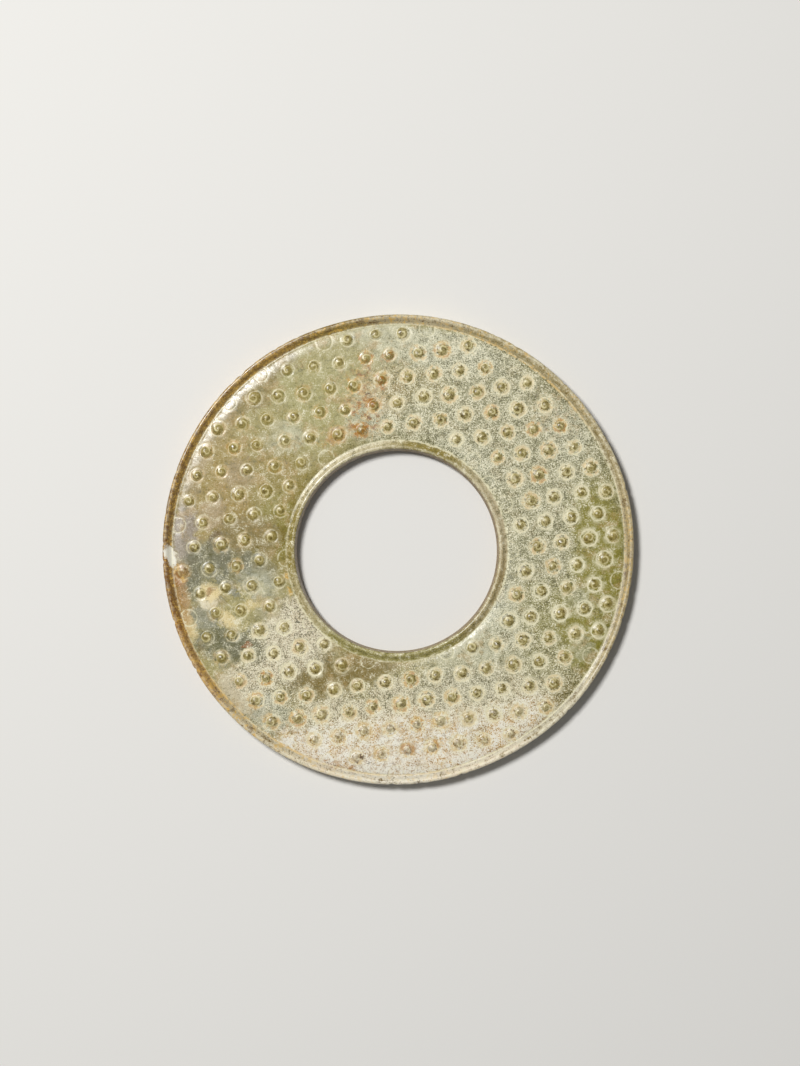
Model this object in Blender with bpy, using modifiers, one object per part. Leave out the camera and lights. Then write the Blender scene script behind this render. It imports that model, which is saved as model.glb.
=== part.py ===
"""Jade ring disc: a flat ring of jade, ground from one slab, with a raised rim round its edge and round its
hole, and a field of small grain bosses between them on both faces.

Metres, +Z up. The ring lies flat. The origin is the centre of its outline on the plane that it lies on, and
+Z is the normal of its front face.
"""
import math
import random

import bmesh
import bpy
from mathutils import Matrix

MM = 0.001

# Driving dimensions of the ring
OUTER_RADIUS = 55.0 * MM
THICKNESS = 4.6 * MM
HOLE_RADIUS = 23.4 * MM         # at its narrowest, half way through
HOLE_FLARE = 0.45 * MM          # the drilled hole widens by this to each face
HOLE_CENTRE = (-0.25 * MM, -0.35 * MM)

# Rims, from their crests down to the incised line at their foot
EDGE_WIDTH = 0.5 * MM           # rounding outside the crest
EDGE_DROP = 0.45 * MM
CREST_WIDTH = 0.35 * MM
OUTER_RIM_WIDTH = 2.2 * MM      # edge to incised line
INNER_RIM_WIDTH = 2.1 * MM
GROOVE_DEPTH = 0.65 * MM        # incised line below the crest

# Field between the rims
BORDER_WIDTH = 2.4 * MM         # slope from the incised line up to the field
FIELD_DEPTH = 0.32 * MM         # field below the crest

# Grain bosses, in staggered rows that were laid out by hand
PITCH = 6.1 * MM                # along a row
ROW_SPACING = 5.38 * MM
TILT = math.radians(7.9)        # of the rows
LATTICE_CENTRE = (2.1 * MM, -3.27 * MM)
WANDER = 0.2 * MM               # how far bosses stray from the lattice
OUTERMOST_BOSS = 50.6 * MM      # bosses nearer a rim are moved away from it to these radii
INNERMOST_BOSS = 28.0 * MM
LATTICE_REACH = 0.6 * MM        # beyond those radii by more than this, the lattice has no boss
SEED = 4371

# One boss: a dome on the front, and a low plain cone on the back, which lies on its rims
BOSS_RADIUS = 1.25 * MM
FRONT_BOSS_HEIGHT = 0.42 * MM   # above the field
BACK_BOSS_HEIGHT = 0.26 * MM
SHOULDER_RADIUS = 0.66          # the dome's shoulder, as shares of its radius and height
SHOULDER_HEIGHT = 0.72
BOSS_SKIRT = 0.05 * MM          # the boss's slope runs on this far under the field
BOSS_ROOT = 0.6 * MM            # and the boss reaches this deep, so that it is one with the ring

# Where the hand-ground outline leaves the true circle: direction, swelling and half width
OUTLINE_WAVES = (
    (math.radians(14), 0.3 * MM, math.radians(17)),
    (math.radians(106), -0.2 * MM, math.radians(12)),
    (math.radians(233), 0.17 * MM, math.radians(26)),
    (math.radians(295), -0.42 * MM, math.radians(17)),
)

RING_STEPS = 56
FRONT_BOSS_STEPS = 6
BACK_BOSS_STEPS = 5
MERGE_DISTANCE = 0.00001
SMOOTH_ANGLE = math.radians(30)
FLAT_ANGLE = math.radians(0.1)

JADE_COLOUR = (0.42, 0.41, 0.27, 1.0)
JADE_ROUGHNESS = 0.35


def clear_scene():
    """Remove every object of the scene."""
    for thing in list(bpy.data.objects):
        bpy.data.objects.remove(thing)


def make_collection(name):
    """Add a collection to the scene."""
    collection = bpy.data.collections.new(name)
    bpy.context.scene.collection.children.link(collection)
    return collection


def make_jade():
    """The stone: greyish green, polished."""
    jade = bpy.data.materials.new("jade")
    jade.use_nodes = True
    shader = jade.node_tree.nodes["Principled BSDF"]
    shader.inputs["Base Color"].default_value = JADE_COLOUR
    shader.inputs["Roughness"].default_value = JADE_ROUGHNESS
    shader.inputs["Metallic"].default_value = 0.0
    return jade


def turn_profile(name, points, closed, steps):
    """Turn a section of (radius, height) points about the Z axis, and return the mesh."""
    edges = [(i, i + 1) for i in range(len(points) - 1)]
    if closed:
        edges.append((len(points) - 1, 0))
    section_mesh = bpy.data.meshes.new(name + "_section")
    section_mesh.from_pydata([(radius, 0.0, height) for radius, height in points], edges, [])
    section = bpy.data.objects.new(name + "_section", section_mesh)
    bpy.context.scene.collection.objects.link(section)

    screw = section.modifiers.new("turn", "SCREW")
    screw.steps = steps
    screw.render_steps = steps
    screw.use_merge_vertices = True
    screw.merge_threshold = MERGE_DISTANCE

    turned = bpy.data.meshes.new_from_object(section.evaluated_get(bpy.context.evaluated_depsgraph_get()))
    turned.name = name
    bpy.data.objects.remove(section)
    bpy.data.meshes.remove(section_mesh)
    return turned


def face_section():
    """One face's section from the hole to the outer edge, as (radius, depth below the crests)."""
    mouth = HOLE_RADIUS + HOLE_FLARE
    inner_groove = mouth + INNER_RIM_WIDTH
    outer_groove = OUTER_RADIUS - OUTER_RIM_WIDTH
    return [
        (mouth, EDGE_DROP),
        (mouth + EDGE_WIDTH, 0.0),
        (mouth + EDGE_WIDTH + CREST_WIDTH, 0.0),
        (inner_groove, GROOVE_DEPTH),
        (inner_groove + BORDER_WIDTH, FIELD_DEPTH),
        (outer_groove - BORDER_WIDTH, FIELD_DEPTH),
        (outer_groove, GROOVE_DEPTH),
        (OUTER_RADIUS - EDGE_WIDTH - CREST_WIDTH, 0.0),
        (OUTER_RADIUS - EDGE_WIDTH, 0.0),
        (OUTER_RADIUS, EDGE_DROP),
    ]


def ring_section():
    """The ring's closed section: over the front, down the edge, back underneath and up the hole."""
    front = [(radius, THICKNESS - depth) for radius, depth in face_section()]
    back = [(radius, depth) for radius, depth in reversed(face_section())]
    return front + back + [(HOLE_RADIUS, THICKNESS / 2)]


def boss_section(upper_slope):
    """A boss's section as (radius, height above the field), from its top down to its root.

    upper_slope lists the points from the top as far down as the last one above the field.
    """
    shoulder_radius, shoulder_height = upper_slope[-1]
    foot = BOSS_RADIUS + BOSS_SKIRT * (BOSS_RADIUS - shoulder_radius) / shoulder_height
    return upper_slope + [(foot, -BOSS_SKIRT), (foot, -BOSS_ROOT), (0.0, -BOSS_ROOT)]


def front_boss():
    """A front boss's mesh: a dome."""
    shoulder = (BOSS_RADIUS * SHOULDER_RADIUS, FRONT_BOSS_HEIGHT * SHOULDER_HEIGHT)
    section = boss_section([(0.0, FRONT_BOSS_HEIGHT), shoulder])
    return turn_profile("front_boss", section, closed=False, steps=FRONT_BOSS_STEPS)


def back_boss():
    """A back boss's mesh, still pointing up: a low cone."""
    section = boss_section([(0.0, BACK_BOSS_HEIGHT)])
    return turn_profile("back_boss", section, closed=False, steps=BACK_BOSS_STEPS)


def outline_swell(angle):
    """How far the outline stands outside the true circle in one direction."""
    swell = 0.0
    for centre, depth, width in OUTLINE_WAVES:
        away = (angle - centre + math.pi) % math.tau - math.pi
        swell += depth * math.exp(-((away / width) ** 2))
    return swell


def make_uneven(mesh):
    """Take the turned ring's edge out of true and its hole off centre, each less towards the other."""
    for vertex in mesh.vertices:
        radius = math.hypot(vertex.co.x, vertex.co.y)
        outwards = (radius - HOLE_RADIUS) / (OUTER_RADIUS - HOLE_RADIUS)
        stretch = 1 + outwards * outline_swell(math.atan2(vertex.co.y, vertex.co.x)) / radius
        vertex.co.x = vertex.co.x * stretch + (1 - outwards) * HOLE_CENTRE[0]
        vertex.co.y = vertex.co.y * stretch + (1 - outwards) * HOLE_CENTRE[1]


def merge_flats(mesh):
    """Make each flat stretch of the turned ring, such as a field, one or two faces in place of many."""
    flats = bmesh.new()
    flats.from_mesh(mesh)
    bmesh.ops.dissolve_limit(flats, angle_limit=FLAT_ANGLE, verts=flats.verts, edges=flats.edges)
    flats.to_mesh(mesh)
    flats.free()


def centre_outline(mesh):
    """Move the ring so that the middle of its outline is over the origin, and return the shift."""
    shift = [0.0, 0.0, 0.0]
    for axis in (0, 1):
        along = [vertex.co[axis] for vertex in mesh.vertices]
        shift[axis] = -(min(along) + max(along)) / 2
    mesh.transform(Matrix.Translation(shift))
    return shift


def boss_places():
    """Each boss's centre and its turn about its own axis, worked out from the lattice and the rims."""
    chance = random.Random(SEED)
    reach = 2 * math.ceil(OUTER_RADIUS / PITCH)
    places = []
    for row in range(-reach, reach + 1):
        for column in range(-reach, reach + 1):
            across = (column + row / 2) * PITCH
            up = row * ROW_SPACING
            x = LATTICE_CENTRE[0] + across * math.cos(TILT) - up * math.sin(TILT) + chance.gauss(0, WANDER)
            y = LATTICE_CENTRE[1] + across * math.sin(TILT) + up * math.cos(TILT) + chance.gauss(0, WANDER)
            turn = chance.uniform(0, math.tau)
            radius = math.hypot(x, y)
            if INNERMOST_BOSS - LATTICE_REACH < radius < OUTERMOST_BOSS + LATTICE_REACH:
                kept = min(max(radius, INNERMOST_BOSS), OUTERMOST_BOSS)
                places.append((x * kept / radius, y * kept / radius, turn))
    return places


def make_bosses(name, collection, boss, field_height, facing, shift):
    """All the bosses of one face as one mesh of closed bodies, which the ring takes in by a union.

    facing is 1 for bosses that stand up from the front and -1 for those that hang from the back.
    """
    bosses = bmesh.new()
    for x, y, turn in boss_places():
        start = len(bosses.verts)
        bosses.from_mesh(boss)
        bosses.verts.ensure_lookup_table()
        place = Matrix.Translation((x + shift[0], y + shift[1], field_height))
        flip = Matrix.Diagonal((1.0, 1.0, facing, 1.0))
        bmesh.ops.transform(bosses, matrix=place @ flip @ Matrix.Rotation(turn, 4, "Z"),
                            verts=bosses.verts[start:])
    bmesh.ops.remove_doubles(bosses, verts=bosses.verts, dist=MERGE_DISTANCE)
    bmesh.ops.recalc_face_normals(bosses, faces=bosses.faces)
    mesh = bpy.data.meshes.new(name)
    bosses.to_mesh(mesh)
    bosses.free()
    bpy.data.meshes.remove(boss)
    mesh.shade_smooth()

    guide = bpy.data.objects.new(name, mesh)
    guide.hide_render = True
    guide.display_type = "WIRE"
    collection.objects.link(guide)
    return guide


def join_bosses(ring, bosses):
    """Make a face's bosses one body with the ring."""
    union = ring.modifiers.new(bosses.name, "BOOLEAN")
    union.operation = "UNION"
    union.solver = "EXACT"
    union.object = bosses


def build_ring(parts, guides):
    """Model the whole ring disc."""
    mesh = turn_profile("jade_ring_disc", ring_section(), closed=True, steps=RING_STEPS)
    make_uneven(mesh)
    merge_flats(mesh)
    shift = centre_outline(mesh)
    mesh.shade_smooth()
    mesh.set_sharp_from_angle(angle=SMOOTH_ANGLE)
    mesh.materials.append(make_jade())
    ring = bpy.data.objects.new("jade_ring_disc", mesh)
    parts.objects.link(ring)

    front_field = THICKNESS - FIELD_DEPTH
    join_bosses(ring, make_bosses("front_bosses", guides, front_boss(), front_field, 1, shift))
    join_bosses(ring, make_bosses("back_bosses", guides, back_boss(), FIELD_DEPTH, -1, shift))


clear_scene()
build_ring(make_collection("jade_ring_disc"), make_collection("guides"))
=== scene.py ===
"""Dresses the jade ring disc: carves its rims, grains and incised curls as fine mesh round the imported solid,
gives the stone its veined, stained and weathered finish, and sets it on a pale floor under soft studio light.

Metres, +Z up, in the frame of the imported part: the ring lies flat and its front face looks up.
"""

import logging
import math
import random
from dataclasses import dataclass, field
from enum import Enum

import bpy
import numpy as np
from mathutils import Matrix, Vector, noise
from mathutils.geometry import delaunay_2d_cdt


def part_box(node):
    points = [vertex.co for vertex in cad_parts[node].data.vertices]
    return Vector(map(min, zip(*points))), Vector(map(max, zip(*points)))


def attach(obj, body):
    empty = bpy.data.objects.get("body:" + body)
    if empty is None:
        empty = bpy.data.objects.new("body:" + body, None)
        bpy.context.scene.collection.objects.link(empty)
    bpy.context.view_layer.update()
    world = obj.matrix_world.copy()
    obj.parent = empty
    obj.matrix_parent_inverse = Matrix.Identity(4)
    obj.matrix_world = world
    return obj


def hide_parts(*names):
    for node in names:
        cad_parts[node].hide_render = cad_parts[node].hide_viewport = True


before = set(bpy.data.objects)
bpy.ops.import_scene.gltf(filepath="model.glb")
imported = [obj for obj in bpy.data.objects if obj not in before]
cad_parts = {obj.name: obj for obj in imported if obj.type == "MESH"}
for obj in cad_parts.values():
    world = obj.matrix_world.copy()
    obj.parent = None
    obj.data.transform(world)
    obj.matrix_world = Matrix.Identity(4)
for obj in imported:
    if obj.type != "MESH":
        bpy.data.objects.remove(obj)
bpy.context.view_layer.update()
RING_NODE = "jade_ring_disc"

MM = 0.001
TURN = math.tau

log = logging.getLogger("jade_ring")


class Face(Enum):
    """The two faces of the ring."""

    FRONT = 1
    BACK = -1


def vertex_places(mesh: bpy.types.Mesh) -> np.ndarray:
    """The places of a mesh's vertices, a row for each."""
    places = np.empty(len(mesh.vertices) * 3)
    mesh.vertices.foreach_get("co", places)
    return places.reshape(-1, 3)


def move_vertices(mesh: bpy.types.Mesh, places: np.ndarray) -> None:
    """Give a mesh's vertices their places, a row for each."""
    mesh.vertices.foreach_set("co", places.ravel())
    mesh.update()


# ---------------------------------------------------------------------------------------------------------
# Shape of the ring
# ---------------------------------------------------------------------------------------------------------


@dataclass(frozen=True)
class RimSection:
    """A rim and the slope beside it in section, by how far in from the stone's edge a point is."""

    width: float
    rounding: float = 0.5 * MM
    rounding_drop: float = 0.45 * MM
    crest: float = 0.35 * MM
    scoop_depth: float = 0.58 * MM
    scoop_power: float = 1.8
    line_half_width: float = 0.2 * MM
    line_depth: float = 0.72 * MM
    border: float = 2.4 * MM
    border_power: float = 1.5
    field_depth: float = 0.32 * MM

    def depth(self, inwards: float) -> float:
        """How far the surface is below the crest.

        Args:
            inwards: the distance from the stone's edge.

        Returns:
            The depth, in metres.
        """
        crest_end = self.rounding + self.crest
        scoop_end = self.width - self.line_half_width
        border_start = self.width + self.line_half_width
        if inwards < self.rounding:
            share = 1 - inwards / self.rounding
            return self.rounding_drop * (1 - math.sqrt(max(0.0, 1 - share * share)))
        if inwards < crest_end:
            return 0.0
        if inwards < scoop_end:
            share = (inwards - crest_end) / (scoop_end - crest_end)
            return self.scoop_depth * (1 - (1 - share) ** self.scoop_power)
        if inwards < border_start:
            share = 1 - abs(inwards - self.width) / self.line_half_width
            return self.scoop_depth + (self.line_depth - self.scoop_depth) * share
        if inwards < self.width + self.border:
            share = (self.width + self.border - inwards) / (self.border - self.line_half_width)
            return self.field_depth + (self.scoop_depth - self.field_depth) * share**self.border_power
        return self.field_depth

    def stations(self, rounding_steps: int, scoop_steps: int) -> list[float]:
        """The distances from the edge at which the rim is sectioned, from the edge to the incised line.

        Args:
            rounding_steps: how many steps the rounded edge takes.
            scoop_steps: how many steps the scoop takes.

        Returns:
            The distances, rising.
        """
        crest_end = self.rounding + self.crest
        scoop_end = self.width - self.line_half_width
        quarter = math.pi / 2
        rounded = [
            self.rounding * (1 - math.cos(quarter * i / rounding_steps)) for i in range(rounding_steps + 1)
        ]
        scooped = [crest_end + (scoop_end - crest_end) * i / scoop_steps for i in range(scoop_steps + 1)]
        return rounded + scooped + [self.width]


@dataclass(frozen=True)
class Swell:
    """A stretch where the hand-ground outline leaves the true circle."""

    direction: float
    height: float
    half_width: float


@dataclass(frozen=True)
class RingShape:
    """The driving sizes of the ring, as its solid has them."""

    outer_radius: float = 55.0 * MM
    hole_radius: float = 23.4 * MM
    hole_flare: float = 0.45 * MM
    thickness: float = 4.6 * MM
    hole_centre: tuple[float, float] = (-0.25 * MM, -0.35 * MM)
    outer_rim: RimSection = RimSection(width=2.2 * MM)
    inner_rim: RimSection = RimSection(width=2.1 * MM)
    swells: tuple[Swell, ...] = (
        Swell(math.radians(14), 0.3 * MM, math.radians(17)),
        Swell(math.radians(106), -0.2 * MM, math.radians(12)),
        Swell(math.radians(233), 0.17 * MM, math.radians(26)),
        Swell(math.radians(295), -0.42 * MM, math.radians(17)),
    )
    outline_steps: int = 720
    rounds_to_true: int = 8

    @property
    def mouth(self) -> float:
        """The hole's radius at each face."""
        return self.hole_radius + self.hole_flare

    @property
    def outer_line(self) -> float:
        """The radius of the incised line inside the outer rim."""
        return self.outer_radius - self.outer_rim.width

    @property
    def inner_line(self) -> float:
        """The radius of the incised line round the inner rim."""
        return self.mouth + self.inner_rim.width

    def depth(self, radius: float) -> float:
        """How far a face's ground, without its grains, is below the crests at a radius."""
        if radius > (self.outer_line + self.inner_line) / 2:
            return self.outer_rim.depth(self.outer_radius - radius)
        return self.inner_rim.depth(radius - self.mouth)

    def _parts(self, x: np.ndarray, y: np.ndarray) -> tuple[np.ndarray, np.ndarray]:
        """How far outwards each point is, 0 at the hole and 1 at the edge, and how much it is stretched."""
        radius = np.hypot(x, y)
        angle = np.arctan2(y, x)
        outwards = (radius - self.hole_radius) / (self.outer_radius - self.hole_radius)
        swelling = np.zeros_like(radius)
        for swell in self.swells:
            away = (angle - swell.direction + math.pi) % TURN - math.pi
            swelling += swell.height * np.exp(-((away / swell.half_width) ** 2))
        return outwards, 1 + outwards * swelling / radius

    def uneven(self, x: np.ndarray, y: np.ndarray) -> tuple[np.ndarray, np.ndarray]:
        """Take true circles out of true, as the ring was ground by hand.

        Args:
            x: the points' places across.
            y: the points' places up.

        Returns:
            The moved places.
        """
        outwards, stretch = self._parts(x, y)
        shift = self.shift
        return (
            x * stretch + (1 - outwards) * self.hole_centre[0] + shift[0],
            y * stretch + (1 - outwards) * self.hole_centre[1] + shift[1],
        )

    def true_radius(self, x: np.ndarray, y: np.ndarray) -> np.ndarray:
        """The radius that each point of the finished ring had before it was taken out of true."""
        shift = self.shift
        true_x, true_y = x - shift[0], y - shift[1]
        for _ in range(self.rounds_to_true):
            outwards, stretch = self._parts(true_x, true_y)
            true_x = (x - shift[0] - (1 - outwards) * self.hole_centre[0]) / stretch
            true_y = (y - shift[1] - (1 - outwards) * self.hole_centre[1]) / stretch
        return np.hypot(true_x, true_y)

    @property
    def shift(self) -> tuple[float, float]:
        """What brings the middle of the uneven outline over the origin."""
        angle = np.linspace(0, TURN, self.outline_steps, endpoint=False)
        x, y = self.outer_radius * np.cos(angle), self.outer_radius * np.sin(angle)
        _, stretch = self._parts(x, y)
        x, y = x * stretch, y * stretch
        return -(x.min() + x.max()) / 2, -(y.min() + y.max()) / 2


# ---------------------------------------------------------------------------------------------------------
# Grains
# ---------------------------------------------------------------------------------------------------------


@dataclass(frozen=True)
class RustySpot:
    """A place where iron stain has gathered round the grains, in millimetres."""

    x: float
    y: float
    reach: float
    strength: float


@dataclass
class Grain:
    """One grain of the field: its place, and how its curl was cut and has worn."""

    x: float
    y: float
    turn: float
    finished: bool
    hand: int = 1
    size: float = 1.0
    tail: float = 0.6
    rust: float = 0.0
    wear: float = 0.0


@dataclass(frozen=True)
class GrainLattice:
    """The staggered rows that the grains were laid out in, by hand.

    The domes wear down over a stretch at the foot of the ring, which is given in millimetres.
    """

    pitch: float = 6.1 * MM
    row_spacing: float = 5.38 * MM
    tilt: float = math.radians(7.9)
    centre: tuple[float, float] = (2.1 * MM, -3.27 * MM)
    wander: float = 0.2 * MM
    outermost: float = 50.6 * MM
    innermost: float = 28.0 * MM
    reach: float = 0.6 * MM
    unfinished_reach: float = 1.9 * MM
    seed: int = 4371
    trait_seed: int = 77
    base_rust: float = 0.6
    worn_from: float = 36.0
    worn_over: float = 13.0
    damaged_place: tuple[float, float] = (-50.5 * MM, -5.5 * MM)
    damaged_reach: float = 3.0 * MM
    damaged_rust: float = 0.3
    rusty_spots: tuple[RustySpot, ...] = (
        RustySpot(-8, 38, 7, 1.0),
        RustySpot(-7, 31, 5, 1.0),
        RustySpot(-14, 27, 4, 0.8),
        RustySpot(38, 29, 9, 0.9),
        RustySpot(20, 38, 12, 0.5),
        RustySpot(32, 18, 8, 0.5),
        RustySpot(9, 46, 5, 0.8),
        RustySpot(2, -44, 16, 0.9),
        RustySpot(30, -38, 8, 0.5),
        RustySpot(-36, -31, 8, 1.0),
        RustySpot(-18, -42, 8, 0.7),
        RustySpot(-48, 28, 14, 0.45),
        RustySpot(-27, -38, 11, 0.6),
    )

    def grains(self, shape: RingShape) -> list[Grain]:
        """Lay out every grain, finished or only marked out, with its traits.

        Args:
            shape: the ring that they stand on.

        Returns:
            The grains, in the rows' order.
        """
        chance = random.Random(self.seed)
        count = 2 * math.ceil(shape.outer_radius / self.pitch)
        cos, sin = math.cos(self.tilt), math.sin(self.tilt)
        shift = shape.shift
        grains = []
        for row in range(-count, count + 1):
            for column in range(-count, count + 1):
                across = (column + row / 2) * self.pitch
                up = row * self.row_spacing
                x = self.centre[0] + across * cos - up * sin + chance.gauss(0, self.wander)
                y = self.centre[1] + across * sin + up * cos + chance.gauss(0, self.wander)
                turn = chance.uniform(0, TURN)
                radius = math.hypot(x, y)
                past = max(self.innermost - radius, radius - self.outermost)
                if past < self.reach:
                    kept = min(max(radius, self.innermost), self.outermost)
                    x, y = x * kept / radius, y * kept / radius
                    grains.append(Grain(x + shift[0], y + shift[1], turn, True))
                elif past < self.unfinished_reach:
                    grains.append(Grain(x + shift[0], y + shift[1], turn, False))
        self._give_traits(grains)
        return grains

    def _give_traits(self, grains: list[Grain]) -> None:
        """Give each grain the traits of its own cutting, staining and wear."""
        chance = random.Random(self.trait_seed)
        for grain in grains:
            x, y = grain.x / MM, grain.y / MM
            gathered = max(
                spot.strength * math.exp(-((x - spot.x) ** 2 + (y - spot.y) ** 2) / spot.reach**2)
                for spot in self.rusty_spots
            )
            grain.hand = chance.choice((1, -1))
            grain.size = chance.uniform(0.9, 1.12)
            grain.tail = chance.uniform(0.5, 1.0)
            grain.rust = min(1.0, gathered * chance.uniform(0.5, 1.2) + self.base_rust * chance.random() ** 3)
            worn = min(1.0, max(0.0, (-y - self.worn_from) / self.worn_over))
            grain.wear = worn * chance.uniform(0.5, 1.0)
            away = math.hypot(grain.x - self.damaged_place[0], grain.y - self.damaged_place[1])
            if away < self.damaged_reach:
                grain.wear = 1.0
                grain.rust = self.damaged_rust


@dataclass(frozen=True)
class Curl:
    """The incised line of a grain: it winds down the dome from the top, and then round the dome's foot."""

    eye: float = 0.12 * MM
    first_turn: float = 1.22 * MM
    first_bend: float = 0.8
    second_turn: float = 0.58 * MM
    second_bend: float = 0.5
    half_width: float = 0.18 * MM
    depth: float = 0.12 * MM
    dome_share: float = 0.9
    foot_share: float = 0.22
    tail_end: float = 0.12
    worn_share: float = 0.6
    marked_radius: float = 1.8 * MM

    def radius(self, turns: np.ndarray) -> np.ndarray:
        """The line's distance from the grain's centre after some turns."""
        first = self.eye + self.first_turn * np.minimum(turns, 1) ** self.first_bend
        return first + self.second_turn * np.maximum(turns - 1, 0) ** self.second_bend

    def notch(self, rho: np.ndarray, share: np.ndarray, tail: np.ndarray) -> np.ndarray:
        """How deep a finished grain's line is cut, from 0 to 1.

        Args:
            rho: distances from the grain's centre.
            share: directions, as shares of a turn.
            tail: how much of the second turn is cut.

        Returns:
            The cut's depth as a share of its full depth.
        """
        cut = self.dome_share * self._groove(rho - self.radius(share))
        fade = self.foot_share * np.clip((tail - share) / self.tail_end, 0, 1)
        return np.maximum(cut, fade * self._groove(rho - self.radius(1 + share)))

    def mark(self, rho: np.ndarray) -> np.ndarray:
        """How deep the circle that marks out an unfinished grain is cut, from 0 to 1."""
        return self._groove(rho - self.marked_radius)

    def _groove(self, away: np.ndarray) -> np.ndarray:
        """How deep a line is cut at distances from its middle, from 0 to 1."""
        return np.maximum(0, 1 - np.abs(away) / self.half_width)


@dataclass(frozen=True)
class Dome:
    """The raised grain itself."""

    radius: float = 1.25 * MM
    height: float = 0.42 * MM
    back_height: float = 0.26 * MM
    moat: float = 0.01 * MM
    moat_width: float = 0.5 * MM
    worn_share: float = 0.45

    def rise(self, rho: np.ndarray, wear: np.ndarray) -> np.ndarray:
        """The front dome's height over the field, and the shallow moat round it."""
        cap = self.height * (1 - self.worn_share * wear) * np.maximum(0, 1 - (rho / self.radius) ** 2)
        off_middle = (rho - self.radius - self.moat_width / 2) / self.moat_width
        moat = self.moat * np.maximum(0, 1 - off_middle**2)
        return cap - np.where(rho > self.radius, moat, 0)

    def back_rise(self, rho: np.ndarray) -> np.ndarray:
        """The plainer back dome's height over the field."""
        return self.back_height * np.maximum(0, 1 - (rho / self.radius) ** 2)


class Scatter:
    """Points of a flat surface, each clear of those that came before it."""

    CELL = 0.5 * MM

    def __init__(self) -> None:
        """Start with no point."""
        self.points: list[tuple[float, float]] = []
        self._cells: dict[tuple[int, int], list[int]] = {}

    def add(self, points: list[tuple[float, float]], clearance: float) -> None:
        """Add the points that are at least a clearance from all earlier ones.

        Args:
            points: the places wanted.
            clearance: the least distance, at most as wide as a cell.
        """
        for x, y in points:
            column, row = int(x // self.CELL), int(y // self.CELL)
            near = (
                index
                for i in (column - 1, column, column + 1)
                for j in (row - 1, row, row + 1)
                for index in self._cells.get((i, j), ())
            )
            if all(math.hypot(self.points[i][0] - x, self.points[i][1] - y) >= clearance for i in near):
                self._cells.setdefault((column, row), []).append(len(self.points))
                self.points.append((x, y))


@dataclass(frozen=True)
class MeshPlan:
    """How closely the ring's surface is meshed. Rings round a grain are shares of the dome's radius."""

    outer_steps: int = 480
    inner_steps: int = 240
    front_stations: tuple[int, int] = (5, 6)
    back_stations: tuple[int, int] = (4, 3)
    edge_levels: tuple[float, ...] = (0.72, 0.4)
    wall_levels: tuple[float, ...] = (0.6, 0.25, 0.06, -0.06, -0.4)
    lip_clearance: float = 0.1 * MM
    line_spacing: float = 0.21 * MM
    line_margin: float = 0.12 * MM
    line_clearances: tuple[tuple[int, float], ...] = ((0, 0.1 * MM), (-1, 0.12 * MM), (1, 0.12 * MM))
    mark_steps: int = 44
    eye_gap: float = 0.02 * MM
    front_rings: tuple[tuple[float, int, float], ...] = (
        (0.55, 14, 0.17 * MM),
        (0.85, 22, 0.17 * MM),
        (1.12, 24, 0.2 * MM),
        (1.5, 20, 0.3 * MM),
        (1.85, 22, 0.38 * MM),
    )
    front_ground: tuple[float, float] = (0.8 * MM, 0.45 * MM)
    back_rings: tuple[tuple[float, int], ...] = ((0.0, 1), (0.45, 7), (0.8, 10), (1.0, 12), (1.35, 12))
    back_clearance: float = 0.2 * MM
    back_ground: tuple[float, float] = (1.25 * MM, 0.5 * MM)
    ground_margin: float = 0.35 * MM
    ground_rows: float = 1.2
    ground_jitter: float = 0.15
    ground_seed: int = 5
    merge_distance: float = 0.02 * MM
    triangle_tolerance: float = 1e-9
    places_at_once: int = 8192


@dataclass(frozen=True)
class Wear:
    """The undulation of the ground faces, and the nicks of the outer edge."""

    undulation: float = 0.035 * MM
    undulation_length: float = 5.5 * MM
    ripple_share: float = 0.45
    nick_depth: float = 0.9 * MM
    nick_length: float = 1.1 * MM
    nick_level: float = 0.32
    nick_reach: float = 0.9 * MM


@dataclass(frozen=True)
class BakeMap:
    """Where the front and back discs lie on the bake map, and how far each reaches."""

    front_centre: float = 0.374
    front_reach: float = 0.368
    back_centre: float = 0.785
    back_reach: float = 0.209
    wall_tolerance: float = 0.02 * MM


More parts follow.
